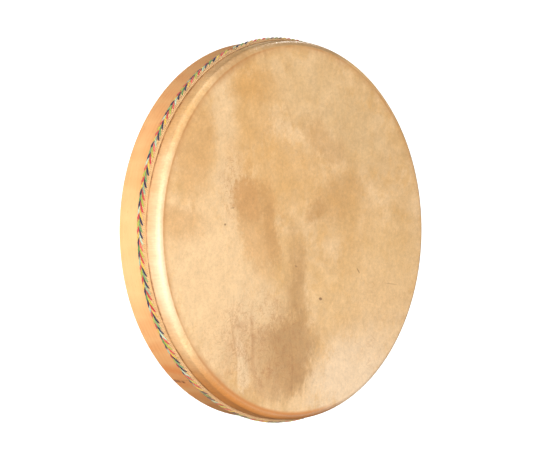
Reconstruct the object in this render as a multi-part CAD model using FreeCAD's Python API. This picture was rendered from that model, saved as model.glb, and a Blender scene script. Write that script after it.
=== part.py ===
import FreeCAD, Part
import math
import os

# A hand-held frame drum: a bent wooden hoop with a goatskin head on one side and the other side open.
#
# Frame, in millimetres: the drum lies on its open rim, skin up. The origin is the centre of the rim's
# plane, +Z is the drum's axis and points to the skin, and X and Y lie in the rim's plane.
# "back" is a distance from the face of the skin towards the open rim.
# "turn" is an angle round the axis, in degrees, from the -X side towards the +Y side.

# Driving dimensions
HEAD_RADIUS = 200.0        # outside of the stretched skin
DEPTH = 60.0               # face of the skin to the open rim
SKIN = 0.8                 # thickness of the goatskin
WALL = 8.0                 # thickness of the bent board
EDGE_ROUND = 6.5           # outer round-over of the bearing edge
EDGE_LAND = 0.5            # flat crown of the bearing edge
EDGE_BEVEL = 1.0           # inner bevel of the bearing edge
RIM_EASE = 1.0             # eased corners of the open rim
SKIRT_END = 27.0           # cut edge of the skin, hidden under the trim

# The lap where the board's two ends are glued and nailed
SCARF_OUTER_TURN = -50.7   # the end that shows on the outside of the hoop
SCARF_LAP = 26.0           # angle that the tapered lap takes up, about 90 mm
SCARF_BLUNT = 0.6          # thickness of each board end, where it isn't tapered further
GLUE = 0.16                # glue line in the lap
NAIL_HEAD_RADIUS = 1.1
NAIL_HEAD_THICK = 0.4
NAIL_SHANK_RADIUS = 0.5
NAIL_LENGTH = 6.0
NAIL_SINK = 0.05           # depth of a nail's head below the wood
NAIL_INSET = 5.2           # from the lap's end to the nails, along the hoop, in the middle of the depth
NAIL_SLANT = 0.12          # the row of nails runs askew: sideways run per millimetre of depth
OUTER_NAIL_BACKS = (11.0, 16.5, 45.8, 51.8, 57.6)
INNER_NAIL_BACKS = (12.0, 32.0, 42.0, 52.0)

# Tacks that hold the skin's skirt to the hoop, under the trim
TACK_COUNT = 48
TACK_BACK = 22.5
TACK_HEAD_RADIUS = 2.75
TACK_HEAD_RISE = 0.9
TACK_SHANK_RADIUS = 0.6
TACK_LENGTH = 6.6

# Trim: a cotton tape over the skin's cut edge, and the coloured yarns on the tape
TRIM_FRONT = 18.0          # edge of the trim beside the skin
TAPE_BACK = 30.5
TAPE_CROWN_BACK = 24.2
TAPE_CROWN = 203.1         # radius of the tape's crown
YARN_FRONT = 21.0
YARN_BACK = 31.8
YARN_CROWN_BACK = 25.4
YARN_CROWN = 204.5         # radius of the yarns' crown
TRIM_JOIN_TURN = 68.0      # where the two ends of the trim meet
TRIM_JOIN_GAP = 0.5

# The pin that holds the trim's end
PIN_TURN = 68.6
PIN_BACK = 19.6
PIN_SEAT = 201.9           # radius that the pin's head sits at
PIN_HEAD_RADIUS = 1.3
PIN_HEAD_RISE = 1.0
PIN_SHANK_RADIUS = 0.4
PIN_LENGTH = 5.5

HOOP_RADIUS = HEAD_RADIUS - SKIN
BORE_RADIUS = HOOP_RADIUS - WALL
CENTRE = FreeCAD.Vector(0, 0, 0)
AXIS = FreeCAD.Vector(0, 0, 1)


def section_point(radius, back):
    """A point of a section through the wall, drawn at the +X side."""
    return FreeCAD.Vector(radius, 0, DEPTH - back)


def line(start, end):
    return Part.LineSegment(start, end).toShape()


def arc(start, middle, end):
    return Part.Arc(start, middle, end).toShape()


def quarter_round(radius, back, size, start_angle):
    """A quarter circle in the section, round a centre: the angle turns from outwards to backwards."""
    angles = [math.radians(start_angle + step) for step in (0, 45, 90)]
    return [section_point(radius + size * math.cos(angle), back + size * math.sin(angle)) for angle in angles]


def revolved(edges, degrees=360.0):
    face = Part.Face(Part.Wire(Part.__sortEdges__(edges)))
    return face.revolve(CENTRE, AXIS, degrees)


def turned(shape, turn):
    """A copy of a shape drawn at the +X side, carried round to its turn."""
    copy = shape.copy()
    copy.rotate(CENTRE, AXIS, 180.0 - turn)
    return copy


def hoop_ring():
    """The board's closed ring: rounded bearing edge under the skin, eased corners at the open rim."""
    crown, round_middle, side = quarter_round(HOOP_RADIUS - EDGE_ROUND, SKIN + EDGE_ROUND, EDGE_ROUND, -90)
    land = crown - FreeCAD.Vector(EDGE_LAND, 0, 0)
    bevel = section_point(BORE_RADIUS, SKIN + EDGE_BEVEL)
    outer_ease = quarter_round(HOOP_RADIUS - RIM_EASE, DEPTH - RIM_EASE, RIM_EASE, 0)
    inner_ease = quarter_round(BORE_RADIUS + RIM_EASE, DEPTH - RIM_EASE, RIM_EASE, 90)
    edges = [
        line(land, crown),
        arc(crown, round_middle, side),
        line(side, outer_ease[0]),
        arc(*outer_ease),
        line(outer_ease[2], inner_ease[0]),
        arc(*inner_ease),
        line(inner_ease[2], bevel),
        line(bevel, land),
    ]
    return revolved(edges)


def scarf_point(along, radius, sideways=0.0):
    """A point of the lap, seen along the axis: an angle along it, and a small distance round the hoop."""
    angle = math.radians(SCARF_OUTER_TURN - along - math.degrees(sideways / HOOP_RADIUS))
    return FreeCAD.Vector(-radius * math.cos(angle), radius * math.sin(angle), 0)


def scarf_ramp(offset, sideways):
    """The lap's long slope, as one arc from under its outer end to its inner end, moved out by an offset."""
    top = HOOP_RADIUS - SCARF_BLUNT + offset
    bottom = BORE_RADIUS + SCARF_BLUNT + offset
    return (
        scarf_point(0, top, sideways),
        scarf_point(SCARF_LAP / 2, (top + bottom) / 2, sideways),
        scarf_point(SCARF_LAP, bottom, sideways),
    )


def scarf_blade():
    """The glue line's space through the wall: a short step at each end, and the long slope between them."""
    overrun = 1.0
    upper = scarf_ramp(GLUE / 2, GLUE)
    lower = scarf_ramp(-GLUE / 2, -GLUE)
    outside = HOOP_RADIUS + overrun
    inside = BORE_RADIUS - overrun
    outside_upper, outside_lower = scarf_point(0, outside, GLUE), scarf_point(0, outside, -GLUE)
    inside_upper, inside_lower = scarf_point(SCARF_LAP, inside, GLUE), scarf_point(SCARF_LAP, inside, -GLUE)
    edges = [
        line(outside_lower, outside_upper),
        line(outside_upper, upper[0]),
        arc(*upper),
        line(upper[2], inside_upper),
        line(inside_upper, inside_lower),
        line(inside_lower, lower[2]),
        arc(*lower),
        line(lower[0], outside_lower),
    ]
    face = Part.Face(Part.Wire(Part.__sortEdges__(edges)))
    face.translate(AXIS * -overrun)
    return face.extrude(AXIS * (DEPTH + 2 * overrun))


def dome(radius, rise):
    """A round head, the cap of a ball, with its flat underside at the origin, standing up along Z."""
    ball = (radius**2 + rise**2) / (2 * rise)
    base_latitude = math.degrees(math.asin((ball - rise) / ball))
    return Part.makeSphere(ball, FreeCAD.Vector(0, 0, rise - ball), AXIS, base_latitude, 90)


def shank(radius, length):
    """A round shank with a pointed end, hanging down from the origin along -Z."""
    point = 3 * radius
    body = Part.makeCylinder(radius, length - point, CENTRE, -AXIS)
    tip = Part.makeCone(radius, 0, point, AXIS * (point - length), -AXIS)
    return body.fuse(tip)


def driven(fastener, radius, back, turn, inwards=True):
    """Stand a fastener, drawn along Z, in the wall at a radius: driven inwards, or outwards from inside."""
    copy = fastener.copy()
    copy.rotate(CENTRE, FreeCAD.Vector(0, 1, 0), 90 if inwards else -90)
    copy.translate(section_point(radius, back))
    return turned(copy, turn)


def tacks():
    tack = dome(TACK_HEAD_RADIUS, TACK_HEAD_RISE).fuse(shank(TACK_SHANK_RADIUS, TACK_LENGTH)).removeSplitter()
    pitch = 360.0 / TACK_COUNT
    return [driven(tack, HEAD_RADIUS, TACK_BACK, pitch * (index + 0.5)) for index in range(TACK_COUNT)]


def nail():
    head = Part.makeCylinder(NAIL_HEAD_RADIUS, NAIL_HEAD_THICK, AXIS * -NAIL_HEAD_THICK)
    return head.fuse(shank(NAIL_SHANK_RADIUS, NAIL_LENGTH)).removeSplitter()


def nail_run(back):
    """Distance of a nail from the lap's end, along the hoop."""
    return NAIL_INSET - NAIL_SLANT * (back - DEPTH / 2)


def outer_nails():
    radius = HOOP_RADIUS - NAIL_SINK
    nails = []
    for back in OUTER_NAIL_BACKS:
        turn = SCARF_OUTER_TURN - math.degrees(nail_run(back) / radius)
        nails.append(driven(nail(), radius, back, turn))
    return nails


def inner_nails():
    radius = BORE_RADIUS + NAIL_SINK
    nails = []
    for back in INNER_NAIL_BACKS:
        turn = SCARF_OUTER_TURN - SCARF_LAP + math.degrees(nail_run(back) / radius)
        nails.append(driven(nail(), radius, back, turn, inwards=False))
    return nails


def skin():
    """The goatskin: a flat disc, turned down over the bearing edge into a skirt."""
    round_radius = HOOP_RADIUS - EDGE_ROUND
    round_back = SKIN + EDGE_ROUND
    outer = quarter_round(round_radius, round_back, EDGE_ROUND + SKIN, -90)
    inner = quarter_round(round_radius, round_back, EDGE_ROUND, -90)
    edges = [
        line(section_point(0, 0), outer[0]),
        arc(*outer),
        line(outer[2], section_point(HEAD_RADIUS, SKIRT_END)),
        line(section_point(HEAD_RADIUS, SKIRT_END), section_point(HOOP_RADIUS, SKIRT_END)),
        line(section_point(HOOP_RADIUS, SKIRT_END), inner[2]),
        arc(*inner),
        line(inner[0], section_point(0, SKIN)),
        line(section_point(0, SKIN), section_point(0, 0)),
    ]
    return revolved(edges)


def tape_arc():
    """The crowned outside of the tape, from beside the skin to the wood."""
    return arc(
        section_point(HEAD_RADIUS, TRIM_FRONT),
        section_point(TAPE_CROWN, TAPE_CROWN_BACK),
        section_point(HOOP_RADIUS, TAPE_BACK),
    )


def trim_ring(edges):
    """A ring of trim, open by a small gap where its two ends meet."""
    half_gap = math.degrees(TRIM_JOIN_GAP / 2 / HEAD_RADIUS)
    ring = revolved(edges, 360.0 - 2 * half_gap)
    return turned(ring, TRIM_JOIN_TURN - half_gap)


def tape():
    """Cotton tape laid over the cut edge of the skin and over the tacks."""
    step_out = section_point(HEAD_RADIUS, SKIRT_END)
    step_in = section_point(HOOP_RADIUS, SKIRT_END)
    edges = [
        tape_arc(),
        line(section_point(HOOP_RADIUS, TAPE_BACK), step_in),
        line(step_in, step_out),
        line(step_out, section_point(HEAD_RADIUS, TRIM_FRONT)),
    ]
    return trim_ring(edges)


def yarns():
    """The coloured yarns' outer shape: a crescent lying on the tape's crown and back flank."""
    circle = tape_arc().Curve
    rise = section_point(0, YARN_FRONT).z - circle.Center.z
    start = section_point(circle.Center.x + math.sqrt(circle.Radius**2 - rise**2), YARN_FRONT)
    crown = section_point(YARN_CROWN, YARN_CROWN_BACK)
    tape_crown = circle.Center + FreeCAD.Vector(circle.Radius, 0, 0)
    tape_end = section_point(HOOP_RADIUS, TAPE_BACK)
    end = section_point(HOOP_RADIUS, YARN_BACK)
    edges = [
        arc(start, tape_crown, tape_end),
        line(tape_end, end),
        arc(end, crown, start),
    ]
    return trim_ring(edges)


def end_pin():
    pin = dome(PIN_HEAD_RADIUS, PIN_HEAD_RISE).fuse(shank(PIN_SHANK_RADIUS, PIN_LENGTH)).removeSplitter()
    return driven(pin, PIN_SEAT, PIN_BACK, PIN_TURN)


def build():
    ring = hoop_ring()
    blade = scarf_blade()
    tack_set, outer_set, inner_set, pin = tacks(), outer_nails(), inner_nails(), end_pin()
    driven_in = Part.makeCompound(tack_set + outer_set + inner_set + [pin])
    through_skin = Part.makeCompound(tack_set + [pin])
    return {
        "shell_hoop": ring.cut(blade).cut(driven_in),
        "scarf_glue": ring.common(blade).cut(driven_in),
        "scarf_nails_outer": Part.makeCompound(outer_set),
        "scarf_nails_inner": Part.makeCompound(inner_set),
        "head": skin().cut(through_skin),
        "head_tacks": Part.makeCompound(tack_set),
        "trim_tape": tape().cut(through_skin),
        "trim_yarns": yarns(),
        "trim_end_pin": pin,
    }


os.makedirs("parts", exist_ok=True)
for node, shape in build().items():
    print(node, len(shape.Solids), "solids", round(shape.Volume), "mm3", shape.isValid(), shape.BoundBox)
    shape.exportStep(f"parts/{node}.step")
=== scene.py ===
import math
from collections import namedtuple

import bmesh
import bpy
import numpy as np
from mathutils import Matrix, Vector


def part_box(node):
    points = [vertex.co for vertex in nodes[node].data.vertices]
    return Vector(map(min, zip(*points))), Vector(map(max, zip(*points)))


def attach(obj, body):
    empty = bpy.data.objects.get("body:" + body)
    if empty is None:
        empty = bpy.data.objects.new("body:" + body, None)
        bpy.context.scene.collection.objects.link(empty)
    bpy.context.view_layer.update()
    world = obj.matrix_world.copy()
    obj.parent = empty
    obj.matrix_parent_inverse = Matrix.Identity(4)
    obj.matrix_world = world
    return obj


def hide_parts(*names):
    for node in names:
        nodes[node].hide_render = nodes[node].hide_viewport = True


# A frame drum, finished over its CAD frame: goatskin head, bent wooden hoop, braided trim.
#
# Lengths are in millimetres until a point is placed. "back" is a distance from the face of the skin
# towards the open rim, and "turn" an angle in degrees round the axis, from the -X side towards +Y.
# The pieces that stay as CAD are the hoop, its glue and nails, the tacks and the pin. They are only
# painted. The skin, the tape and the yarns are built again here, with the detail that shows.

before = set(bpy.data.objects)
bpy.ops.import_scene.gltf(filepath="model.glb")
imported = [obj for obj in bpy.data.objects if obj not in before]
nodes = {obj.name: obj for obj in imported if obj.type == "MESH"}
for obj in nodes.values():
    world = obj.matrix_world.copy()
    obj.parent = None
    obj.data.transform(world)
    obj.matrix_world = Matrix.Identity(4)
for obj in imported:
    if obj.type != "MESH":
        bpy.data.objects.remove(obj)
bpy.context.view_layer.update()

MM = 0.001
head_low, head_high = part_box("head")
hoop_low, hoop_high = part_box("shell_hoop")
tape_low, tape_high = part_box("trim_tape")
yarn_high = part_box("trim_yarns")[1]

FACE = head_high.z / MM
HEAD_RADIUS = head_high.x / MM
HOOP_RADIUS = hoop_high.x / MM
SKIN = HEAD_RADIUS - HOOP_RADIUS
SKIRT_END = FACE - head_low.z / MM
TAPE_FRONT = FACE - tape_high.z / MM
TAPE_BACK = FACE - tape_low.z / MM
TAPE_CROWN = tape_high.x / MM
YARN_CROWN = yarn_high.x / MM
BORE_RADIUS = min(Vector(v.co[:2]).length for v in nodes["shell_hoop"].data.vertices) / MM

EDGE_ROUND = 6.5                      # radius of the hoop's bearing edge, with the skin over it
CREASE = 193.8                        # radius at which the flat face ends
JOIN_TURN = 68.0                      # where the trim's two ends meet
LAP_TURN = -50.7                      # the outer end of the hoop's lap
TAPE_BODY_CROWN = TAPE_CROWN - 0.9    # radius of the woven tape's crown, under stitches and yarns
TAPE_EDGE = 0.3                       # the woven tape's thickness at its edges
RING_STEPS = 720                      # points round the drum, in the skin and in the tape
PLIES = 2                             # plies twisted together in every thread


# ---------------------------------------------------------------------------------------------
# Shader nodes, one short call each

FACE_LIGHT = (1.12, 1.137, 1.152)     # the studio's light on the skin's face, in red, green and blue


def tone(red, green, blue):
    """The linear surface colour that shows as these 8-bit display values in the light on the face."""
    linear = []
    for value, level in zip((red, green, blue), FACE_LIGHT):
        share = value / 255
        share = share / 12.92 if share <= 0.04045 else ((share + 0.055) / 1.055) ** 2.4
        linear.append(share / level)
    return (*linear, 1.0)


class Shader:
    """One material's node tree."""

    def __init__(self, name):
        self.material = bpy.data.materials.new(name)
        self.material.use_nodes = True
        self.tree = self.material.node_tree
        self.surface = next(n for n in self.tree.nodes if n.type == "BSDF_PRINCIPLED")
        coordinates = self.node("ShaderNodeTexCoord").outputs["Object"]
        self.place = self.vector("SCALE", coordinates, scale=1 / MM)
        self.x, self.y, self.z = self.parts(self.place)
        self.flat = self.stretched(1, 1, 0)
        self.around = self.vector("NORMALIZE", self.flat)
        self.radius = self.vector("LENGTH", self.flat)
        self.back = self.math("SUBTRACT", FACE, self.z)

    def node(self, kind, **settings):
        made = self.tree.nodes.new(kind)
        for name, value in settings.items():
            setattr(made, name, value)
        return made

    def feed(self, socket, value):
        if isinstance(value, bpy.types.NodeSocket):
            self.tree.links.new(value, socket)
        else:
            socket.default_value = value

    def math(self, operation, first, second=0.0, third=0.0):
        made = self.node("ShaderNodeMath", operation=operation)
        for socket, value in zip(made.inputs, (first, second, third)):
            self.feed(socket, value)
        return made.outputs[0]

    def times(self, product, *factors):
        for factor in factors:
            product = self.math("MULTIPLY", product, factor)
        return product

    def plus(self, total, *terms):
        for term in terms:
            total = self.math("ADD", total, term)
        return total

    def vector(self, operation, first, second=None, scale=None):
        made = self.node("ShaderNodeVectorMath", operation=operation)
        self.feed(made.inputs[0], first)
        if second is not None:
            self.feed(made.inputs[1], second)
        if scale is not None:
            self.feed(made.inputs["Scale"], scale)
        return made.outputs["Value" if operation in ("LENGTH", "DOT_PRODUCT") else "Vector"]

    def stretched(self, x, y, z):
        """The place with each axis scaled: a small number draws a texture out along that axis."""
        return self.vector("MULTIPLY", self.place, (x, y, z))

    def parts(self, vector):
        made = self.node("ShaderNodeSeparateXYZ")
        self.feed(made.inputs[0], vector)
        return made.outputs

    def noise(self, size, detail=2.0, rough=0.5, vector=None, twist=0.0, colour=False, w=None):
        """Noise about 0.5. Size is that of its largest features, in millimetres."""
        made = self.node("ShaderNodeTexNoise", noise_dimensions="3D" if w is None else "4D")
        self.feed(made.inputs["Vector"], self.place if vector is None else vector)
        if w is not None:
            self.feed(made.inputs["W"], w)
        self.feed(made.inputs["Scale"], 1 / size)
        self.feed(made.inputs["Detail"], detail)
        self.feed(made.inputs["Roughness"], rough)
        self.feed(made.inputs["Distortion"], twist)
        return made.outputs["Color" if colour else 0]

    def cells(self, size):
        """Distance from the nearest of the random points that lie about size millimetres apart, over size."""
        made = self.node("ShaderNodeTexVoronoi", feature="F1")
        self.feed(made.inputs["Vector"], self.place)
        self.feed(made.inputs["Scale"], 1 / size)
        self.feed(made.inputs["Randomness"], 1.0)
        return made.outputs["Distance"]

    def remap(self, kind, value, low, high, start, end):
        made = self.node("ShaderNodeMapRange", interpolation_type=kind)
        for socket, number in zip(made.inputs, (value, low, high, start, end)):
            self.feed(socket, number)
        return made.outputs[0]

    def band(self, value, low, high, start=0.0, end=1.0):
        """A smooth step: start where value is at low, end where it is at high."""
        return self.remap("SMOOTHSTEP", value, low, high, start, end)

    def span(self, value, low, high, start=0.0, end=1.0):
        """A straight remap, clamped."""
        return self.remap("LINEAR", value, low, high, start, end)

    def lines(self, value, width):
        """Thin lines where a noise crosses its middle value: 1 on a line, 0 beside it."""
        off = self.math("ABSOLUTE", self.math("SUBTRACT", value, 0.5))
        return self.band(off, 0.0, width, 1.0, 0.0)

    def facing(self, turn):
        """How nearly a point's side of the drum is the one at a turn: 1 when it is, -1 opposite it."""
        turn = math.radians(turn)
        return self.vector("DOT_PRODUCT", self.around, (-math.cos(turn), math.sin(turn), 0))

    def near_turn(self, turn, reach, core=0.0):
        """1 within core degrees of a turn, falling to 0 at reach degrees from it."""
        return self.band(self.facing(turn), math.cos(math.radians(reach)), math.cos(math.radians(core)))

    def mix(self, share, first, second):
        made = self.node("ShaderNodeMix", data_type="RGBA", blend_type="MIX")
        colours = [socket for socket in made.inputs if socket.type == "RGBA"]
        self.feed(made.inputs["Factor"], share)
        self.feed(colours[0], first)
        self.feed(colours[1], second)
        return next(socket for socket in made.outputs if socket.type == "RGBA")

    def tint(self, colour, share, strength, paint):
        """A colour taken towards a paint where share is 1, as far as strength says."""
        return self.mix(self.times(share, strength), colour, paint)

    def shade(self, colour, factor):
        """A colour made lighter or darker by a factor."""
        return self.vector("SCALE", colour, scale=factor)

    def spot(self, vector, centre, size, angle, softness, fray=None):
        """An ellipse, 1 inside and 0 outside, with its edge moved by fray.

        Centre and half sizes are in millimetres and the angle in degrees.
        """
        made = self.node("ShaderNodeMapping", vector_type="TEXTURE")
        self.feed(made.inputs["Vector"], vector)
        made.inputs["Location"].default_value = (*centre, 0)
        made.inputs["Rotation"].default_value = (0, 0, math.radians(angle))
        made.inputs["Scale"].default_value = (*size, 1)
        reach = self.vector("LENGTH", made.outputs[0])
        if fray is not None:
            reach = self.math("ADD", reach, fray)
        return self.band(reach, 1 - softness, 1 + softness, 1.0, 0.0)

    def attribute(self, name):
        return self.node("ShaderNodeAttribute", attribute_name=name).outputs["Vector"]

    def bump(self, height, depth, normal=None):
        """Height, from 0 to 1, as a relief of a depth in millimetres."""
        made = self.node("ShaderNodeBump")
        made.inputs["Strength"].default_value = 1.0
        made.inputs["Distance"].default_value = depth * MM
        self.feed(made.inputs["Height"], height)
        if normal is not None:
            self.feed(made.inputs["Normal"], normal)
        return made.outputs[0]

    def finish(self, colour, roughness, normal, **constants):
        self.feed(self.surface.inputs["Base Color"], colour)
        self.feed(self.surface.inputs["Roughness"], roughness)
        self.feed(self.surface.inputs["Normal"], normal)
        for name, value in constants.items():
            self.surface.inputs[name.replace("_", " ")].default_value = value
        return self.material


# ---------------------------------------------------------------------------------------------
# Goatskin

Stain = namedtuple("Stain", "centre size angle softness strength colour")
SkirtLightPatch = namedtuple("SkirtLightPatch", "turn half_width strength colour")

CREAM = tone(246, 212, 164)
TAN = tone(229, 189, 132)

# The hide's own colouring, in millimetres from the middle of the face: X, then Y
STAINS = (
    Stain((-132, -50), (72, 92), 0, 0.55, 0.88, tone(249, 216, 168)),
    Stain((-150, 84), (30, 46), -16, 0.50, 0.75, tone(222, 176, 116)),
    Stain((-70, 118), (30, 50), 6, 0.45, 0.60, tone(226, 180, 116)),
    Stain((-106, 92), (17, 92), 3, 0.55, 0.80, tone(244, 212, 166)),
    Stain((-172, 8), (34, 16), 0, 0.60, 0.55, tone(218, 170, 110)),
    Stain((-66, 152), (36, 17), -12, 0.55, 0.75, tone(224, 174, 106)),
    Stain((20, 150), (60, 30), 0, 0.70, 0.62, tone(233, 200, 150)),
    Stain((84, 104), (50, 30), -25, 0.60, 0.62, tone(231, 199, 150)),
    Stain((-22, 62), (70, 36), -12, 0.60, 0.55, tone(231, 184, 118)),
    Stain((40, 92), (34, 14), -30, 0.50, 0.50, tone(212, 168, 112)),
    Stain((-60, 8), (29, 53), 13, 0.24, 0.62, tone(222, 174, 114)),
    Stain((-74, 32), (19, 22), 12, 0.32, 0.62, tone(208, 158, 100)),
    Stain((-46, 20), (7, 30), 16, 0.40, 0.40, tone(204, 156, 98)),
    Stain((-40, -8), (9, 34), 12, 0.40, 0.50, tone(208, 162, 104)),
    Stain((58, 36), (40, 20), 24, 0.50, 0.45, tone(211, 165, 107)),
    Stain((26, 22), (16, 9), 30, 0.45, 0.45, tone(204, 156, 98)),
    Stain((88, 4), (30, 44), 0, 0.60, 0.35, tone(228, 182, 118)),
    Stain((136, -38), (50, 48), 0, 0.60, 0.50, tone(242, 204, 146)),
    Stain((-8, -30), (12, 32), 0, 0.55, 0.55, tone(210, 168, 114)),
    Stain((-2, -68), (15, 34), 4, 0.50, 0.78, tone(200, 158, 104)),
    Stain((-62, -78), (40, 24), -10, 0.60, 0.60, tone(243, 214, 170)),
    Stain((84, -148), (66, 36), 24, 0.50, 0.92, tone(252, 226, 190)),
    Stain((124, -90), (60, 44), 10, 0.60, 0.55, tone(243, 207, 157)),
    Stain((-80, -114), (32, 24), 6, 0.45, 0.40, tone(224, 188, 144)),
    Stain((-104, -136), (10, 24), -24, 0.40, 0.35, tone(222, 182, 134)),
    Stain((-84, -140), (9, 26), 4, 0.30, 0.80, tone(250, 222, 180)),
    Stain((-36, -136), (42, 36), 4, 0.42, 0.62, tone(214, 176, 128)),
    Stain((-8, -124), (34, 40), -8, 0.42, 0.78, tone(197, 156, 104)),
    Stain((-16, -154), (30, 24), -6, 0.45, 0.55, tone(200, 158, 106)),
    Stain((-48, -166), (26, 12), -12, 0.45, 0.45, tone(218, 178, 128)),
    Stain((-94, -114), (1.5, 36), 2, 0.80, 0.34, tone(190, 138, 92)),
    Stain((-67, -116), (2.2, 34), -3, 0.80, 0.38, tone(190, 138, 92)),
    Stain((-80, -94), (9, 3.0), 20, 0.80, 0.30, tone(194, 142, 96)),
    Stain((-12, -142), (1.5, 30), 1, 0.80, 0.30, tone(176, 134, 88)),
    Stain((56, -72), (44, 34), -10, 0.60, 0.50, tone(238, 198, 138)),
    Stain((2, -34), (8, 20), 0, 0.50, 0.30, tone(206, 164, 112)),
)

# Small marks in the hide
MARKS = (
    Stain((33, -73), (2.4, 1.5), -10, 0.35, 0.75, tone(120, 84, 58)),
    Stain((92, -44), (3.4, 0.8), -50, 0.40, 0.60, tone(140, 100, 66)),
    Stain((144, -59), (9.0, 0.45), -6, 0.50, 0.45, tone(150, 108, 72)),
    Stain((-108, 6), (1.3, 1.1), 0, 0.40, 0.65, tone(130, 90, 60)),
    Stain((-97, 23), (2.6, 0.6), 5, 0.40, 0.50, tone(130, 90, 60)),
    Stain((-4, -38), (2.2, 0.8), -20, 0.40, 0.55, tone(150, 112, 76)),
    Stain((124, 58), (3.5, 0.5), -60, 0.50, 0.50, tone(236, 210, 168)),
)

# Painted highlight and shade patches where the skin turns over its edge, which break up its highlight. Half
# widths are in degrees.
SKIRT_LIGHT_PATCHES = (
    SkirtLightPatch(30, 9, 0.40, tone(216, 168, 112)),
    SkirtLightPatch(47, 9, 0.30, tone(234, 196, 146)),
    SkirtLightPatch(61, 12, 0.78, tone(188, 144, 92)),
    SkirtLightPatch(77, 9, 0.30, tone(226, 192, 146)),
    SkirtLightPatch(-48, 12, 0.55, tone(206, 150, 92)),
)


def skin_stains(s):
    """The hide's own colour: clouds of tan and cream, then the stains. Also the place they are drawn at."""
    drift = s.vector("SUBTRACT", s.noise(48, 2, 0.5, colour=True), (0.5, 0.5, 0.5))
    warped = s.vector("ADD", s.place, s.vector("SCALE", drift, scale=22.0))
    warped = s.vector("MULTIPLY", warped, (1, 1, 0))
    drawn = s.stretched(1.35, 0.75, 1)
    fray = s.times(s.math("SUBTRACT", s.noise(16, 7, 0.66, vector=drawn), 0.5), 1.7)
    fine_fray = s.times(s.math("SUBTRACT", s.noise(3.8, 5, 0.78, vector=drawn), 0.5), 1.5)
    fray = s.plus(fray, fine_fray)

    cloud = s.band(s.noise(60, 4, 0.6, twist=0.4), 0.34, 0.68)
    colour = s.mix(cloud, TAN, CREAM)
    amber = s.band(s.noise(24, 5, 0.66, vector=warped), 0.47, 0.66)
    colour = s.tint(colour, amber, 0.50, tone(229, 182, 114))
    for stain in STAINS:
        inside = s.spot(warped, stain.centre, stain.size, stain.angle, stain.softness, fray)
        colour = s.tint(colour, inside, stain.strength, stain.colour)
    return colour, warped


def skin_dirt(s, colour, warped):
    """Specks, crinkles and wrinkles that gather in the dark parts of the hide."""
    dirty = s.spot(warped, (-56, -118), (72, 52), 0, 0.5)
    dirty = s.math("MAXIMUM", dirty, s.spot(warped, (-98, 50), (15, 34), 0, 0.5))
    specks = s.band(s.noise(3.4, 6, 0.78), 0.53, 0.64)
    colour = s.tint(colour, s.times(specks, dirty), 0.50, tone(186, 134, 86))
    crinkle = s.lines(s.noise(8, 6, 0.68, vector=s.stretched(1.0, 0.34, 1), twist=0.6), 0.05)
    crinkle = s.times(crinkle, s.band(s.noise(20, 3, 0.6), 0.42, 0.62), dirty)
    colour = s.tint(colour, crinkle, 0.46, tone(184, 128, 80))
    wrinkle = s.times(s.lines(s.noise(17, 5, 0.62, twist=0.8), 0.022), dirty)
    return s.tint(colour, wrinkle, 0.38, tone(176, 120, 70))


def skin_edge(s, colour, skirt, blotches):
    """Painted light and shade where the skin turns over the bearing edge and down its skirt; also the lower
    skirt darker, least at the top.
    """
    lower = s.band(s.back, 4.5, 14)
    shaded = s.band(s.facing(84), 0.86, 0.99, 0.55, 0.10)
    colour = s.mix(s.times(lower, skirt, shaded), colour, tone(212, 160, 106))
    # painted highlight near the edge and painted shade lower down the skirt, at the top of the drum
    top = s.times(skirt, s.band(s.facing(92), 0.90, 0.985))
    colour = s.tint(colour, top, 0.75, s.mix(lower, tone(158, 128, 92), tone(255, 232, 194)))
    # painted shade: darker and more orange on the low side, from just inside the crease down the skirt
    amber = s.times(s.band(s.radius, CREASE - 4.2, CREASE - 0.6), s.band(s.facing(-74), 0.82, 0.95))
    colour = s.tint(colour, amber, 0.90, tone(214, 138, 66))
    # painted shade: darker still at the bottom
    bottom_shade = s.times(skirt, s.band(s.facing(-96), 0.95, 0.995))
    colour = s.tint(colour, bottom_shade, 0.60, tone(170, 108, 54))

    edge = s.band(s.radius, 184, CREASE)
    # painted highlight and shade patches along the edge
    for patch in SKIRT_LIGHT_PATCHES:
        near = s.times(s.near_turn(patch.turn, patch.half_width, patch.half_width * 0.3), edge,
                       s.span(blotches, 0.35, 0.65, 0.5, 1.0), s.span(lower, 0.0, 1.0, 1.0, 0.4))
        colour = s.tint(colour, near, patch.strength, patch.colour)

    # painted highlight on the lit side, over the rounding and down the skirt
    pale = s.times(skirt, s.band(s.facing(-3), 0.83, 0.985), s.span(blotches, 0.35, 0.65, 0.72, 1.0),
                   s.span(lower, 0.0, 1.0, 0.85, 0.42), s.band(s.facing(-90), -0.25, 0.2, 0.5, 1.0))
    return s.mix(pale, colour, tone(252, 228, 198))


def skin_by_trim(s, colour, unevenness):
    """Dirt and painted shade against the trim, and a painted shadow in the gap under its edge: notched, and
    wider where the ends meet.
    """
    # dirt and painted shade on the skirt against the trim
    dirt_and_shade = s.times(s.band(s.back, TAPE_FRONT - 3.4, TAPE_FRONT - 0.4), unevenness)
    colour = s.tint(colour, dirt_and_shade, 0.45, tone(180, 124, 72))
    # painted shadow in the gap under the tape's edge
    notched = s.band(s.noise(2.6, 4, 0.7, vector=s.stretched(1, 1, 0.4)), 0.40, 0.60)
    slack = s.near_turn(JOIN_TURN + 3.5, 5, 2)
    gap = s.plus(s.back, s.times(s.plus(unevenness, notched), 0.45), s.times(slack, notched, 1.3))
    gap = s.band(gap, TAPE_FRONT - 0.6, TAPE_FRONT + 0.3)
    depth = s.math("MAXIMUM", s.span(unevenness, 0.25, 1.0, 0.30, 0.78), slack)
    return s.mix(s.times(gap, s.span(notched, 0.0, 1.0, 0.55, 1.0), depth), colour, tone(122, 78, 40))


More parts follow.
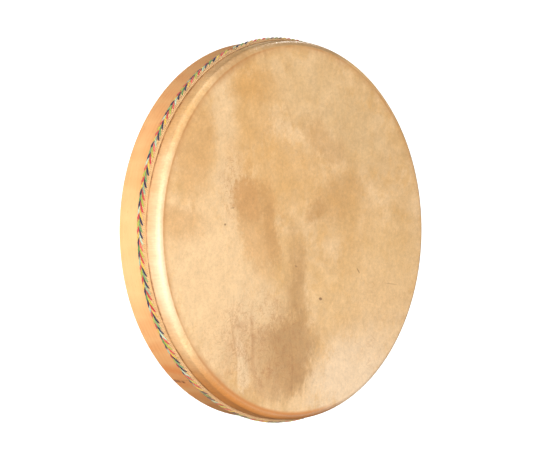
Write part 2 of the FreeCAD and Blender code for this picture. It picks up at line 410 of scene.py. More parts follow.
def skin_material():
    s = Shader("goatskin")
    colour, warped = skin_stains(s)

    # blotches in the hide, fainter as they get smaller, and fine scraping marks
    blotches = s.noise(15, 5, 0.66, twist=0.3)
    colour = s.shade(colour, s.span(blotches, 0.3, 0.7, 0.92, 1.065))
    mottle = s.noise(3.4, 4, 0.68)
    colour = s.shade(colour, s.span(mottle, 0.28, 0.72, 0.90, 1.09))
    scraped = s.noise(1.6, 3, 0.6, vector=s.stretched(1.0, 0.22, 1))
    colour = s.shade(colour, s.span(scraped, 0.3, 0.7, 0.975, 1.022))
    colour = skin_dirt(s, colour, warped)
    grain = s.noise(1.5, 3, 0.7)
    colour = s.shade(colour, s.span(grain, 0.3, 0.7, 0.95, 1.045))

    # pores of the hair, in drifts
    pore = s.times(s.band(s.cells(1.35), 0.10, 0.32, 1.0, 0.0), s.band(s.noise(26, 2, 0.5), 0.40, 0.66))
    colour = s.tint(colour, pore, 0.22, tone(176, 128, 80))

    # faint veins, then the small marks
    vein = s.times(s.lines(s.noise(46, 3, 0.5, twist=1.2), 0.010), s.band(s.noise(90, 1), 0.48, 0.62))
    colour = s.tint(colour, vein, 0.20, tone(196, 148, 96))
    for mark in MARKS:
        inside = s.spot(s.flat, mark.centre, mark.size, mark.angle, mark.softness)
        colour = s.tint(colour, inside, mark.strength, mark.colour)

    skirt = s.band(s.radius, CREASE - 0.6, CREASE + 1.2)
    colour = skin_edge(s, colour, skirt, blotches)

    # painted shade: the edge of the flat face darker in a ring inside the crease and along the crease itself,
    # least at the lower right
    unevenness = s.band(s.noise(30, 3, 0.6), 0.36, 0.62, 0.25, 1.0)
    shadow = s.times(s.band(s.radius, 185, 192.5), s.band(s.radius, CREASE - 0.5, CREASE + 0.5, 1.0, 0.0))
    crease = s.times(s.band(s.radius, 190.8, 193.2), s.band(s.radius, 193.6, 194.6, 1.0, 0.0))
    edge_shade = s.plus(s.times(shadow, 0.28), s.times(crease, unevenness, 0.5))
    edge_shade = s.times(edge_shade, s.band(s.facing(50), -0.9, 0.3, 0.05, 1.0))
    colour = s.mix(edge_shade, colour, tone(198, 140, 82))

    # stretch lines run down the skirt, bumped and with their light and shade painted in; dirt and painted shade
    # sit against the trim
    streaks = s.noise(1.7, 3, 0.6, vector=s.stretched(1, 1, 0.10))
    colour = s.mix(skirt, colour, s.shade(colour, s.span(streaks, 0.3, 0.7, 0.90, 1.06)))
    colour = skin_by_trim(s, colour, unevenness)

    # inside the drum the hide is unpolished
    inner = s.times(s.band(s.back, 0.35, 0.6), s.band(s.radius, BORE_RADIUS, HOOP_RADIUS - 0.4, 1.0, 0.0))
    colour = s.tint(colour, inner, 0.45, tone(214, 176, 126))

    fibres = s.noise(0.55, 3, 0.65)
    normal = s.bump(s.plus(s.times(fibres, 0.5), s.times(mottle, 0.5)), 0.10)
    normal = s.bump(pore, -0.05, normal)
    normal = s.bump(s.times(streaks, skirt), 0.22, normal)
    roughness = s.span(blotches, 0.3, 0.7, 0.44, 0.58)
    roughness = s.math("SUBTRACT", roughness, s.times(skirt, 0.10))
    return s.finish(colour, roughness, normal, Specular_IOR_Level=0.5)


# ---------------------------------------------------------------------------------------------
# Wood, glue and metal


def nail_places():
    """The middles of the heads of the lap's outer nails, in millimetres."""
    head_depth = 0.3
    step = 5              # the nails stand in a row, and are told apart by their height in these steps
    heads = {}
    for vertex in nodes["scarf_nails_outer"].data.vertices:
        place = vertex.co / MM
        if place.to_2d().length > HOOP_RADIUS - head_depth:
            heads.setdefault(round(place.z / step), []).append(place)
    return [sum(places, Vector()) / len(places) for places in heads.values()]


def wood_material():
    """Steam-bent wood: fine grain runs round the hoop, with oil, handling and rust stains."""
    s = Shader("hoop_wood")
    depth_in = s.times(s.radius, 0.5)
    sway = s.noise(70, 2, 0.5, vector=s.stretched(0.6, 0.6, 1))
    rings = s.plus(s.times(s.z, 0.42), s.times(sway, 9.0), s.times(s.radius, 0.7))
    figure = s.band(s.math("PINGPONG", rings, 1.0), 0.0, 1.0)
    fibre = s.noise(0.8, 4, 0.65, vector=s.stretched(0.03, 0.03, 1), w=depth_in)
    vessels = s.band(s.noise(0.62, 2, 0.5, vector=s.stretched(0.13, 0.13, 1), w=depth_in), 0.60, 0.70)
    clouds = s.noise(48, 3, 0.5, vector=s.stretched(0.5, 0.5, 1.3))

    colour = s.mix(figure, tone(240, 178, 120), tone(232, 164, 106))
    colour = s.mix(s.band(clouds, 0.35, 0.68), colour, tone(244, 188, 130))
    # painted sheen: a pale band on the side of the hoop that faces the light
    painted_sheen = s.times(s.band(s.facing(-7), 0.925, 0.995), s.span(clouds, 0.3, 0.6, 0.6, 1.0))
    colour = s.tint(colour, painted_sheen, 0.68, tone(250, 202, 144))
    colour = s.shade(colour, s.span(fibre, 0.28, 0.72, 0.93, 1.05))
    colour = s.tint(colour, vessels, 0.30, tone(178, 118, 64))

    # painted shade: the low side is redder and browner, darker still at the bottom
    colour = s.tint(colour, s.band(s.facing(-68), 0.80, 0.97), 0.62, tone(236, 156, 86))
    colour = s.tint(colour, s.band(s.facing(-98), 0.93, 0.99), 0.55, tone(186, 120, 62))

    # a warm stain along the lap, and rust round its nails
    ragged = s.noise(3.5, 4, 0.65)
    outside = s.band(s.radius, HOOP_RADIUS - 1.5, HOOP_RADIUS - 0.6)
    glow = s.times(s.near_turn(LAP_TURN + 1.6, 6), outside, s.span(ragged, 0.3, 0.6, 0.3, 1.0))
    colour = s.tint(colour, glow, 0.65, tone(226, 134, 70))
    for middle in nail_places():
        reach = s.vector("LENGTH", s.vector("SUBTRACT", s.place, tuple(middle)))
        reach = s.plus(reach, s.times(ragged, 1.6))
        rust = s.times(s.band(reach, 2.1, 4.0, 1.0, 0.0), outside)
        colour = s.tint(colour, rust, 0.92, tone(146, 54, 22))

    # handling: darker beside the trim, polished pale at the rim's corners
    dirt = s.times(s.band(s.back, TAPE_BACK + 5, TAPE_BACK), s.span(clouds, 0.3, 0.7, 0.4, 1.0))
    colour = s.tint(colour, dirt, 0.25, tone(190, 130, 78))
    pointed = s.node("ShaderNodeNewGeometry").outputs["Pointiness"]
    colour = s.tint(colour, s.band(pointed, 0.52, 0.60), 0.35, tone(246, 208, 150))
    inside = s.band(s.radius, BORE_RADIUS + 2.5, BORE_RADIUS + 0.5)
    colour = s.tint(colour, inside, 0.35, tone(214, 160, 104))

    relief = s.math("SUBTRACT", s.times(fibre, 0.7), s.times(vessels, 0.5))
    normal = s.bump(clouds, 0.35, s.bump(relief, 0.07))
    roughness = s.plus(s.span(fibre, 0.3, 0.7, 0.36, 0.50), s.times(inside, 0.14))
    return s.finish(colour, roughness, normal, Specular_IOR_Level=0.55)


def glue_material():
    s = Shader("wood_glue")
    thick = s.noise(2.5, 3, 0.6)
    colour = s.mix(s.band(thick, 0.35, 0.65), tone(150, 92, 48), tone(196, 134, 76))
    return s.finish(colour, s.span(thick, 0.3, 0.7, 0.25, 0.45), s.bump(thick, 0.15))


def metal_material(name, bright, dull, metallic, smooth):
    """Metal, or a nail's rust where metallic is 0, with a dull film in patches and fine pits."""
    s = Shader(name)
    film = s.noise(1.6, 4, 0.65)
    pits = s.band(s.cells(0.5), 0.08, 0.30, 1.0, 0.0)
    colour = s.mix(s.band(film, 0.40, 0.62), bright, dull)
    colour = s.tint(colour, pits, 0.4, tone(70, 44, 30))
    normal = s.bump(s.plus(film, s.times(pits, -0.5)), 0.04)
    return s.finish(colour, s.span(film, 0.3, 0.7, smooth, smooth + 0.25), normal,
                    Metallic=metallic, Specular_IOR_Level=0.15 + 0.35 * metallic)


# ---------------------------------------------------------------------------------------------
# Cotton and yarn


def thread_material(name, first, second, dirt, lay):
    """Twisted thread: filaments wind round each strand, which carries its own tone."""
    s = Shader(name)
    along, cosine, sine = s.parts(s.attribute("strand_place"))
    tone_of_strand = s.parts(s.attribute("strand_tone"))[0]
    wind = s.math("ARCTAN2", sine, cosine)
    phase = s.math("SUBTRACT", s.times(wind, float(PLIES)), s.times(along, 2 * math.pi / lay))
    ply = s.math("MULTIPLY_ADD", s.math("SINE", phase), 0.5, 0.5)
    filaments = s.math("MULTIPLY_ADD", s.math("SINE", s.times(phase, 4.0)), 0.5, 0.5)
    fuzz = s.noise(0.45, 3, 0.7)

    colour = s.mix(tone_of_strand, first, second)
    # painted shade: darker in stripes along the twist of the plies and their filaments, beside the bump that
    # raises them
    colour = s.shade(colour, s.span(ply, 0.0, 1.0, 0.80, 1.06))
    colour = s.shade(colour, s.span(filaments, 0.0, 1.0, 0.92, 1.05))
    colour = s.shade(colour, s.span(fuzz, 0.25, 0.75, 0.88, 1.10))
    colour = s.tint(colour, s.band(s.noise(11, 3, 0.6), 0.50, 0.72), 0.22, dirt)
    rubbed = s.times(s.band(s.facing(-78), 0.80, 0.97), s.span(fuzz, 0.3, 0.7, 0.6, 1.0))
    colour = s.tint(colour, rubbed, 0.42, tone(196, 150, 102))

    normal = s.bump(s.plus(s.times(ply, 0.6), s.times(filaments, 0.25)), 0.16)
    normal = s.bump(fuzz, 0.10, normal)
    return s.finish(colour, s.span(fuzz, 0.3, 0.7, 0.78, 0.95), normal,
                    Specular_IOR_Level=0.25, Sheen_Weight=0.25, Sheen_Roughness=0.5)


def tape_material():
    """The woven cotton under the stitches."""
    s = Shader("cotton_tape")
    warp_spacing, weft_spacing = 1.1, 0.9
    turn = s.math("ARCTAN2", s.y, s.times(s.x, -1.0))
    warp = s.math("SINE", s.times(turn, HEAD_RADIUS, 2 * math.pi / warp_spacing))
    weft = s.math("SINE", s.times(s.z, 2 * math.pi / weft_spacing))
    weave = s.math("MULTIPLY_ADD", s.times(warp, weft), 0.5, 0.5)
    fuzz = s.noise(0.6, 3, 0.7)
    # painted shade of the weave: darker where the threads dip under one another
    colour = s.mix(weave, tone(182, 134, 84), tone(218, 170, 116))
    colour = s.shade(colour, s.span(fuzz, 0.25, 0.75, 0.86, 1.08))
    return s.finish(colour, s.span(fuzz, 0.3, 0.7, 0.8, 0.95), s.bump(weave, 0.2), Specular_IOR_Level=0.2)


# ---------------------------------------------------------------------------------------------
# Mesh building


def wrap(radius, turn, back):
    """Points in metres from arrays of radius, turn and back."""
    radius, turn, back = np.broadcast_arrays(radius, np.radians(turn), back)
    return np.stack([-radius * np.cos(turn), radius * np.sin(turn), FACE - back], axis=-1) * MM


def grid_faces(rows, columns, rows_close=False):
    """Quads over a grid of points whose columns close into a ring."""
    row = np.arange(rows if rows_close else rows - 1)
    row, column = np.meshgrid(row, np.arange(columns), indexing="ij")
    next_row, next_column = (row + 1) % rows, (column + 1) % columns
    corners = (row * columns + column, row * columns + next_column,
               next_row * columns + next_column, next_row * columns + column)
    return np.stack(corners, axis=-1).reshape(-1, 4)


def make_piece(name, points, faces, material, attributes=()):
    """A smooth mesh piece that rides on the drum, with its faces turned outwards.

    Each attribute is a name and one vector per point, for the piece's shader.
    """
    mesh = bpy.data.meshes.new(name)
    points = np.asarray(points).reshape(-1, 3).tolist()
    mesh.from_pydata(points, [], [list(map(int, face)) for face in faces])
    work = bmesh.new()
    work.from_mesh(mesh)
    bmesh.ops.recalc_face_normals(work, faces=work.faces)
    work.to_mesh(mesh)
    work.free()
    mesh.shade_smooth()
    for label, values in attributes:
        layer = mesh.attributes.new(label, "FLOAT_VECTOR", "POINT")
        layer.data.foreach_set("vector", np.asarray(values, np.float32).ravel())
    mesh.materials.append(material)
    piece = bpy.data.objects.new(name, mesh)
    bpy.context.scene.collection.objects.link(piece)
    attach(piece, "root")
    return piece


def ripple(turn, waves, seed):
    """A smooth closed wobble round the drum, about -1 to 1, from waves of the given counts per turn."""
    draw = np.random.default_rng(seed)
    total = sum(np.cos(np.radians(turn) * count + draw.uniform(0, 2 * math.pi)) for count in waves)
    return total / math.sqrt(len(waves))


def step_up(value, low, high):
    """A smooth step from 0 at low to 1 at high."""
    share = np.clip((value - low) / (high - low), 0, 1)
    return share * share * (3 - 2 * share)


# ---------------------------------------------------------------------------------------------
# The pieces


def over_edge(crease, centre, reach, steps):
    """The skin over the bearing edge: straight down from a crease in the face, then round the edge."""
    lift = math.hypot(centre[0] - crease, centre[1])
    lean = math.atan2(centre[0] - crease, centre[1])
    start = math.pi / 2 - math.asin(reach / lift) - lean
    bend = np.linspace(start, math.pi / 2, steps)
    return [(centre[0] + reach * math.sin(a), centre[1] - reach * math.cos(a)) for a in bend]


def head_section():
    """The skin's section as radius and back: outside from the middle to the cut edge, then back inside."""
    face_steps = 90
    tuck = 0.5            # the skin over the edge stands this far inside the skirt's lower part
    centre = (HEAD_RADIUS - EDGE_ROUND, EDGE_ROUND)
    face = np.concatenate([np.linspace(1.0, CREASE - 4, face_steps), np.linspace(CREASE - 3.4, CREASE, 6)])
    bend = over_edge(CREASE, centre, EDGE_ROUND - tuck, 14)
    down = np.linspace(EDGE_ROUND, SKIRT_END, 16)[1:]
    out = HEAD_RADIUS - tuck + tuck * step_up(down, EDGE_ROUND, 15)
    outside = [(radius, 0.0) for radius in face] + bend + list(zip(out, down))

    inside = [(HOOP_RADIUS, back) for back in down[::-3]]
    bend = np.radians(np.linspace(0, 90, 8))
    inner = EDGE_ROUND - SKIN
    inside += [(centre[0] + inner * math.cos(a), centre[1] - inner * math.sin(a)) for a in bend]
    inside += [(radius, SKIN) for radius in face[:face_steps][::-4]]
    return np.array(outside), np.array(inside)


def make_head():
    """Stretched goatskin: nearly flat, rippled where it turns over the edge and puckered down the skirt."""
    outside, inside = head_section()
    turn = np.arange(RING_STEPS) * 360 / RING_STEPS
    radius = outside[:, :1] + np.zeros(RING_STEPS)
    back = outside[:, 1:] + np.zeros(RING_STEPS)

    # fine ripples in the turned edge, strongest at the top left
    edge = step_up(radius, 180, 192) * (1 - step_up(back, 2, 9))
    upper = 0.35 + 0.65 * step_up(np.cos(np.radians(turn - 48)), 0.2, 0.9)
    fine = ripple(turn, (113, 127, 139, 151, 167), 3) * upper
    back = back + edge * 0.13 * (fine + 1.0)

    # puckers and slower waves down the skirt, always inwards
    pucker = ripple(turn, (61, 83, 96, 103, 139, 211), 5)
    radius = radius - step_up(back, 4, 12) * 0.09 * (pucker + 1.4)
    slack = ripple(turn, (5, 9, 14, 23), 7)
    radius = radius - step_up(back, 3, 8) * 0.10 * (slack + 1.5)

    points = np.concatenate([wrap(radius, turn, back), wrap(inside[:, :1], turn, inside[:, 1:])])
    rows = len(points)
    faces = grid_faces(rows, RING_STEPS).tolist()
    middle = wrap(np.array([0.0, 0.0]), 0.0, np.array([0.0, SKIN]))
    points = np.concatenate([points.reshape(-1, 3), middle])

    # fans of triangles close the middle, outside and inside
    outer_pole = rows * RING_STEPS
    last = (rows - 1) * RING_STEPS
    for column in range(RING_STEPS):
        following = (column + 1) % RING_STEPS
        faces.append([column, following, outer_pole])
        faces.append([last + column, last + following, outer_pole + 1])
    piece = make_piece("head_skin", points, faces, skin_material())
    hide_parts("head")


def tape_radius(back):
    """The woven tape's crowned section."""
    middle = (TAPE_FRONT + TAPE_BACK) / 2
    half = (TAPE_BACK - TAPE_FRONT) / 2
    share = np.clip((back - middle) / half, -1, 1)
    rise = TAPE_BODY_CROWN - HOOP_RADIUS - TAPE_EDGE
    return HOOP_RADIUS + TAPE_EDGE + rise * np.cos(share * math.pi / 2) ** 0.8


def thread_place(along, wind, shape):
    """Each point's distance along its thread and its direction round it, for the thread's shader."""
    parts = [np.broadcast_to(part, shape) for part in (along, np.cos(wind), np.sin(wind))]
    return np.stack(parts, axis=-1).reshape(-1, 3)


def strands(turn, back, radius, width, height, lay, around):
    """Spindle-shaped strands. turn, back and radius are arrays of strand by step along it."""
    count, steps = turn.shape
    run = np.radians(turn) * HEAD_RADIUS
    middle = np.stack([run, back, radius], axis=-1)
    ahead = np.gradient(middle, axis=1)
    ahead /= np.linalg.norm(ahead, axis=-1, keepdims=True)
    up = np.zeros_like(middle)
    up[..., 2] = 1.0
    side = np.cross(ahead, up)
    side /= np.linalg.norm(side, axis=-1, keepdims=True)
    up = np.cross(side, ahead)
    pace = np.linalg.norm(np.diff(middle, axis=1), axis=-1)
    length = np.concatenate([np.zeros((count, 1)), np.cumsum(pace, 1)], 1)

    wind = np.arange(around) * 2 * math.pi / around
    ridge = 1 + 0.10 * np.cos(PLIES * wind - (2 * math.pi / lay) * length[..., None])
    across = (width[..., None] * ridge * np.cos(wind))[..., None] * side[:, :, None]
    rise = (height[..., None] * ridge * np.sin(wind))[..., None] * up[:, :, None]
    flat = middle[:, :, None] + across + rise
    points = wrap(flat[..., 2], np.degrees(flat[..., 0] / HEAD_RADIUS), flat[..., 1])
    place = thread_place(length[..., None], wind, (count, steps, around))

    one = grid_faces(steps, around)
    ends = [list(range(around)), list(range((steps - 1) * around, steps * around))]
    faces = []
    for index in range(count):
        start = index * steps * around
        faces += (one + start).tolist()
        faces += [[start + corner for corner in end] for end in ends]
    return points.reshape(-1, 3), faces, place


def spindle(steps, blunt):
    """The swelling of a strand along its length, from blunt at its ends to 1 in its middle."""
    share = np.linspace(0, 1, steps)
    return blunt + (1 - blunt) * np.sin(np.pi * np.clip(share, 0.0, 1.0)) ** 0.7


def thread_piece(name, material, slot, points, faces, place, tones):
    """A piece of thread. Tones run from 0 to 1: one for each strand, or for each step of a single one."""
    tones = np.repeat(np.asarray(tones), len(place) // len(tones))
    attributes = (("strand_place", place), ("strand_tone", np.stack([tones] * 3, axis=-1)))
    return make_piece(name, points, faces, material, attributes)


# Two rows of stitches: the piece's name, the row's middle, which way its stitches lean, and how far
# round it starts, as a share of a stitch's spacing
STITCH_ROWS = (("trim_stitch_front", 20.2, 1, 0.0), ("trim_stitch_back", 22.3, -1, 0.5))
STITCH_COUNT = 600
STITCH_RUN, STITCH_DROP = 2.55, 2.5   # a stitch's extent round the drum, and down its side


def make_tape():
    """The cotton tape: a crowned band, two rows of slanting stitches, and the selvedge."""
    turn = np.arange(RING_STEPS) * 360 / RING_STEPS
    back = np.linspace(TAPE_FRONT + 0.9, TAPE_BACK - 0.2, 22)[:, None]
    radius = tape_radius(back) + 0.05 * ripple(turn, (31, 47, 64, 90), 11)
    under = np.full((1, RING_STEPS), HOOP_RADIUS - 0.1)
    rows = np.concatenate([wrap(radius, turn, back), wrap(under, turn, back[-1:]), wrap(under, turn, back[:1])])
    faces = grid_faces(len(rows), RING_STEPS, rows_close=True)
    body = make_piece("trim_tape_body", rows, faces, tape_material())
    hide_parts("trim_tape")

    cotton = thread_material("cotton_thread", tone(240, 204, 150), tone(224, 184, 132), tone(176, 128, 84), 1.6)
    draw = np.random.default_rng(21)
    steps, around = 7, 8
    share = np.linspace(-0.5, 0.5, steps)
    shape = (STITCH_COUNT, 1)
    for name, centre, lean, offset in STITCH_ROWS:
        jitter = draw.normal(0, 0.10, shape)
        start = (np.arange(STITCH_COUNT)[:, None] + offset) * 360 / STITCH_COUNT + draw.normal(0, 0.03, shape)
        turns = start + share * math.degrees(STITCH_RUN / HEAD_RADIUS) * lean
        backs = centre + share * STITCH_DROP + jitter * 0.4
        lift = tape_radius(backs) + 0.30 + draw.normal(0, 0.04, shape)
        size = spindle(steps, 0.3)[None] * (1 + draw.normal(0, 0.06, shape))
        built = strands(turns, backs, lift, 0.64 * size, 0.55 * size, 1.4, around)
        thread_piece(name, cotton, "natural_cotton", *built, draw.uniform(0, 1, STITCH_COUNT) ** 1.4)
    make_selvedge()


def make_selvedge():
    """The tape's twisted edge cord, beside the skin, which closes round the drum."""
    steps, around = 1440, 10
    lay, thick = 2.0, 0.62
    pale = thread_material("cotton_selvedge", tone(240, 200, 146), tone(220, 176, 122), tone(170, 118, 72), 1.2)
    turn = np.arange(steps) * 360 / steps
    back = TAPE_FRONT + 1.05 + 0.12 * ripple(turn, (17, 29, 43, 71), 13)
    radius = HEAD_RADIUS + 0.55 + 0.05 * ripple(turn, (23, 37, 59), 14)
    wind = np.arange(around) * 2 * math.pi / around
    run = np.radians(turn) * HEAD_RADIUS
    twists = round(2 * math.pi * HEAD_RADIUS / lay)
    size = thick * (1 + 0.13 * np.cos(PLIES * wind - np.radians(turn)[:, None] * twists))
    points = wrap(radius[:, None] + size * np.sin(wind), turn[:, None], back[:, None] + size * np.cos(wind))
    place = thread_place(run[:, None], wind, points.shape[:2])
    tones = 0.5 + 0.5 * ripple(turn, (11, 23, 41), 31)
    faces = grid_faces(steps, around, rows_close=True)
    selvedge = thread_piece("trim_selvedge", pale, "natural_cotton", points, faces, place, tones)


YARN_COUNT = 200
YARN_START = -11.0                    # turn of the first strand's middle, in the wing beside the skin
YARN_GAP = 1.0                        # no strand is this near the join, in degrees
YARN_LAY = 3.4                        # length of one turn of the yarn's twist
YARN_SEQUENCE = ("navy", "yellow", "red", "lime", "red", "mint", "navy", "green")
YARN_COLOURS = {
    "navy": (tone(44, 46, 78), tone(70, 74, 104)),
    "yellow": (tone(240, 206, 84), tone(226, 190, 104)),
    "red": (tone(206, 52, 62), tone(238, 118, 108)),
    "lime": (tone(178, 196, 78), tone(214, 204, 88)),
    "mint": (tone(196, 222, 196), tone(150, 192, 156)),
    "green": (tone(104, 158, 92), tone(150, 190, 132)),
}

# A chevron's wings: shift and length in degrees, from root to tip in back with a random spread, then
# the strand's lift over the tape and its width. A power bends how each grows along the strand.
Wing = namedtuple("Wing", "shift length root tip spread power "
                          "lift lift_rise lift_power lift_fall width width_end width_power width_round")
WINGS = (
    Wing(-0.35, 3.9, 20.8, 26.9, 0.25, 0.9, 0.30, 0.75, 0.8, 0.30, 1.12, 0.06, 0.72, 0.9),
    Wing(0.35, 3.2, 32.0, 26.6, 0.18, 0.95, 0.10, 0.60, 0.9, 0.0, 1.22, 0.08, 0.85, 0.85),
)


def make_yarns():
    """Chevrons of coloured yarn: a wing over the stitches, and a shorter one on the wood's side."""
    draw = np.random.default_rng(8)
    steps, around = 15, 10
    share = np.linspace(0, 1, steps)
    chosen = {colour: [] for colour in YARN_COLOURS}
    for index in range(YARN_COUNT):
        middle = YARN_START + index * (360 / YARN_COUNT)
        if abs(middle - JOIN_TURN) < YARN_GAP:
            continue
        for number, wing in enumerate(WINGS):
            colour = YARN_SEQUENCE[(index + 4 * number) % len(YARN_SEQUENCE)]
            turn = middle + draw.normal(0, 0.07) + wing.shift + (share - 0.5) * wing.length
            back = wing.root + draw.normal(0, wing.spread) + (wing.tip - wing.root) * share ** wing.power
            arch = np.sin(np.pi * share ** wing.lift_power)
            lift = wing.lift + wing.lift_rise * arch - wing.lift_fall * share
            swell = np.sin(np.pi * share ** wing.width_power) ** wing.width_round
            width = wing.width * (wing.width_end + (1 - wing.width_end) * swell) * (1 + draw.normal(0, 0.05))
            strand_tone = min(max(draw.normal(0.35, 0.3), 0), 1)
            chosen[colour].append((turn, back, lift, width, strand_tone))

    for number, (colour, rows) in enumerate(chosen.items()):
        turn, back, lift, width = (np.array([row[part] for row in rows]) for part in range(4))
        radius = np.minimum(tape_radius(back) + lift, YARN_CROWN - width * 0.75)
        built = strands(turn, back, radius, width, width * 0.62, YARN_LAY, around)
        light, deep = YARN_COLOURS[colour]
        material = thread_material(f"yarn_{colour}", light, deep, tone(120, 96, 74), YARN_LAY)
        tones = [row[4] for row in rows]
        piece = thread_piece(f"trim_yarn_{colour}", material, "coloured_yarn", *built, tones)
        if number == 0:
            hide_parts("trim_yarns")


def make_join():
    """A thread is whipped over the trim's two ends, and a few cotton fibres fray out beside it."""
    draw = np.random.default_rng(5)
    steps = 9
    share = np.linspace(0, 1, steps)
    whip_front, whip_width = 20.2, 10
    start = JOIN_TURN - 0.9 + np.array([[0.0], [0.5], [1.0]])
    turn = start + share * 0.8
    back = whip_front + share * whip_width + 0 * start
    radius = tape_radius(back) + 0.9
    size = spindle(steps, 0.4) + 0 * start
    built = strands(turn, back, radius, 0.62 * size, 0.55 * size, 1.6, 8)
    brown = thread_material("whipping_thread", tone(206, 130, 70), tone(178, 104, 56), tone(120, 70, 40), 1.4)
    thread_piece("trim_whipping", brown, "natural_cotton", *built, [0.2, 0.5, 0.9])

    fibres = 16
    shape = (fibres, 1)
    turn = JOIN_TURN + draw.normal(0, 0.45, shape) + share * draw.normal(0.2, 0.7, shape)
    back = draw.uniform(20, 26, shape) - share * draw.uniform(0.5, 3.0, shape)
    radius = tape_radius(back) + 0.8 + 0.8 * share ** 2
    size = spindle(steps, 0.5) + 0 * turn
    built = strands(turn, back, radius, 0.17 * size, 0.17 * size, 1.0, 6)
    frayed = thread_material("frayed_cotton", tone(236, 198, 142), tone(206, 150, 92), tone(150, 100, 60), 0.8)
    thread_piece("trim_frayed_ends", frayed, "natural_cotton", *built, draw.uniform(0, 1, fibres))


def paint_frame():
    """Materials on the CAD nodes that stay as they are."""
    finishes = {
        "shell_hoop": wood_material(),
        "scarf_glue": glue_material(),
        "scarf_nails_outer": metal_material("nail_steel", tone(84, 26, 12), tone(128, 44, 18), 0.0, 0.70),
        "head_tacks": metal_material("tack_brass", tone(226, 186, 104), tone(168, 120, 60), 1.0, 0.28),
        "trim_end_pin": metal_material("pin_brass", tone(244, 220, 168), tone(214, 178, 112), 1.0, 0.22),
    }
    finishes["scarf_nails_inner"] = finishes["scarf_nails_outer"]
    for name, material in finishes.items():
        slots = nodes[name].material_slots
        if not slots:
            nodes[name].data.materials.append(material)
        for slot in slots:
            slot.material = material


# ---------------------------------------------------------------------------------------------
# Studio

CENTRE = Vector((0, 0, FACE / 2 * MM))
UPRIGHT = Vector((0, 1, 0))           # the picture's up: the drum stands on its side in it
WARM_WHITE = (1.0, 0.90, 0.78)

# Side and rise in degrees, distance and size in metres, power in watts
StudioLight = namedtuple("StudioLight", "name side rise distance size power colour")
STUDIO_LIGHTS = (
    StudioLight("key", 48, -4, 2.4, 1.1, 64, (1.0, 0.955, 0.92)),
    StudioLight("side", 94, -5, 0.78, 0.30, 4.4, (1.0, 0.93, 0.88)),
    StudioLight("far_fill", -55, -25, 2.6, 1.6, 18.5, (1.0, 0.98, 0.97)),
    StudioLight("top_fill", 70, 76, 2.0, 0.8, 11.5, (1.0, 0.95, 0.88)),
    StudioLight("top_near", -95, 60, 0.62, 0.10, 1.5, (1.0, 0.94, 0.86)),
)


def toward(side, rise):
    """A direction from the drum: side degrees off its axis towards -X, and rise degrees towards +Y."""
    side, rise = math.radians(side), math.radians(rise)
    return Vector((-math.sin(side) * math.cos(rise), math.sin(rise), math.cos(side) * math.cos(rise)))


def aimed(location, target):
    """A placement at a location, looking at a target along -Z."""
    away = (location - target).normalized()
    right = UPRIGHT.cross(away).normalized()
    turned = Matrix((right, away.cross(right), away)).transposed().to_4x4()
    return Matrix.Translation(location) @ turned


def area_light(name, placement, size, power, colour):
    light = bpy.data.lights.new(name, "AREA")
    light.shape = "DISK"
    light.size = size
    light.energy = power
    light.color = colour
    lamp = bpy.data.objects.new(name, light)
    lamp.matrix_world = placement
    bpy.context.scene.collection.objects.link(lamp)
    return lamp


def choose_shader(tree, share, first, second):
    """The first shader where share is 0, and the second where it's 1."""
    choose = tree.nodes.new("ShaderNodeMixShader")
    for socket, value in zip(choose.inputs, (share, first, second)):
        tree.links.new(value, socket)
    return choose.outputs[0]


def make_world():
    """Pure white to the eye, and a weak warm fill as light, weaker still in reflections."""
    world = bpy.data.worlds.new("studio")
    bpy.context.scene.world = world
    world.use_nodes = True
    tree = world.node_tree
    tree.nodes.clear()
    shaders = []
    for colour, strength in ((WARM_WHITE, 0.26), (WARM_WHITE, 0.10), ((1, 1, 1), 1.0)):
        shader = tree.nodes.new("ShaderNodeBackground")
        shader.inputs["Color"].default_value = (*colour, 1)
        shader.inputs["Strength"].default_value = strength
        shaders.append(shader.outputs[0])
    fill, shine, seen = shaders
    ray = tree.nodes.new("ShaderNodeLightPath")
    reflected = choose_shader(tree, ray.outputs["Is Glossy Ray"], fill, shine)
    chosen = choose_shader(tree, ray.outputs["Is Camera Ray"], reflected, seen)
    tree.links.new(chosen, tree.nodes.new("ShaderNodeOutputWorld").inputs[0])


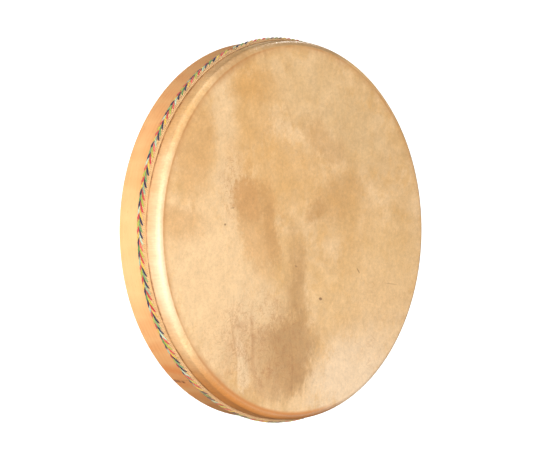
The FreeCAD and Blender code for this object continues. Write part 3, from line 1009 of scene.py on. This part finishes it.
def make_floor():
    """A white floor under the open rim. It's clear from below, so that a low view shows the open back."""
    half_size = 12.0
    height = hoop_low.z - 0.0002
    corners = [(x * half_size, y * half_size, height) for x, y in ((-1, -1), (1, -1), (1, 1), (-1, 1))]
    mesh = bpy.data.meshes.new("floor")
    mesh.from_pydata(corners, [], [(0, 1, 2, 3)])
    material = bpy.data.materials.new("floor")
    material.use_nodes = True
    tree = material.node_tree
    surface = next(n for n in tree.nodes if n.type == "BSDF_PRINCIPLED")
    surface.inputs["Base Color"].default_value = (0.5, 0.5, 0.5, 1)
    surface.inputs["Roughness"].default_value = 1.0
    surface.inputs["Specular IOR Level"].default_value = 0.0
    surface.inputs["Emission Color"].default_value = (1, 1, 1, 1)
    surface.inputs["Emission Strength"].default_value = 1.0
    clear = tree.nodes.new("ShaderNodeBsdfTransparent")
    below = tree.nodes.new("ShaderNodeNewGeometry").outputs["Backfacing"]
    out = next(n for n in tree.nodes if n.type == "OUTPUT_MATERIAL")
    tree.links.new(choose_shader(tree, below, surface.outputs[0], clear.outputs[0]), out.inputs[0])
    mesh.materials.append(material)
    floor = bpy.data.objects.new("floor", mesh)
    bpy.context.scene.collection.objects.link(floor)
    floor.visible_diffuse = False
    floor.visible_glossy = False


def make_camera():
    """The photo's viewpoint, from the fit of the drum's outline."""
    side, rise, distance = 45.364, 0.217, 2.661
    shift_right, shift_down = 0.00107, 0.00474
    data = bpy.data.cameras.new("camera")
    data.sensor_width = 36.0
    data.lens = 161.69
    data.clip_start, data.clip_end = 0.05, 60.0
    camera = bpy.data.objects.new("camera", data)
    location = CENTRE + toward(side, rise) * distance
    right = UPRIGHT.cross(toward(side, 0)).normalized()
    target = CENTRE + right * shift_right - UPRIGHT * shift_down
    camera.matrix_world = aimed(location, target)
    bpy.context.scene.collection.objects.link(camera)
    bpy.context.scene.camera = camera


def make_studio():
    scene = bpy.context.scene
    scene.view_settings.view_transform = "Standard"
    for light in STUDIO_LIGHTS:
        placement = aimed(CENTRE + toward(light.side, light.rise) * light.distance, CENTRE)
        lamp = area_light(light.name, placement, light.size, light.power, light.colour)
        # the side light skims the face, so its highlight would whiten the skin in a view along it
        lamp.visible_glossy = light.name != "side"

    # a weak light just above the rim's plane shines into the open back, for views from below
    into_back = Matrix.Translation((0, 0, 0.002)) @ Matrix.Rotation(math.pi, 4, "X")
    area_light("open_back", into_back, 2 * (BORE_RADIUS - 8) * MM, 0.17, (1.0, 0.95, 0.88))
    make_world()
    make_floor()
    make_camera()


make_head()
make_tape()
make_yarns()
make_join()
paint_frame()
make_studio()
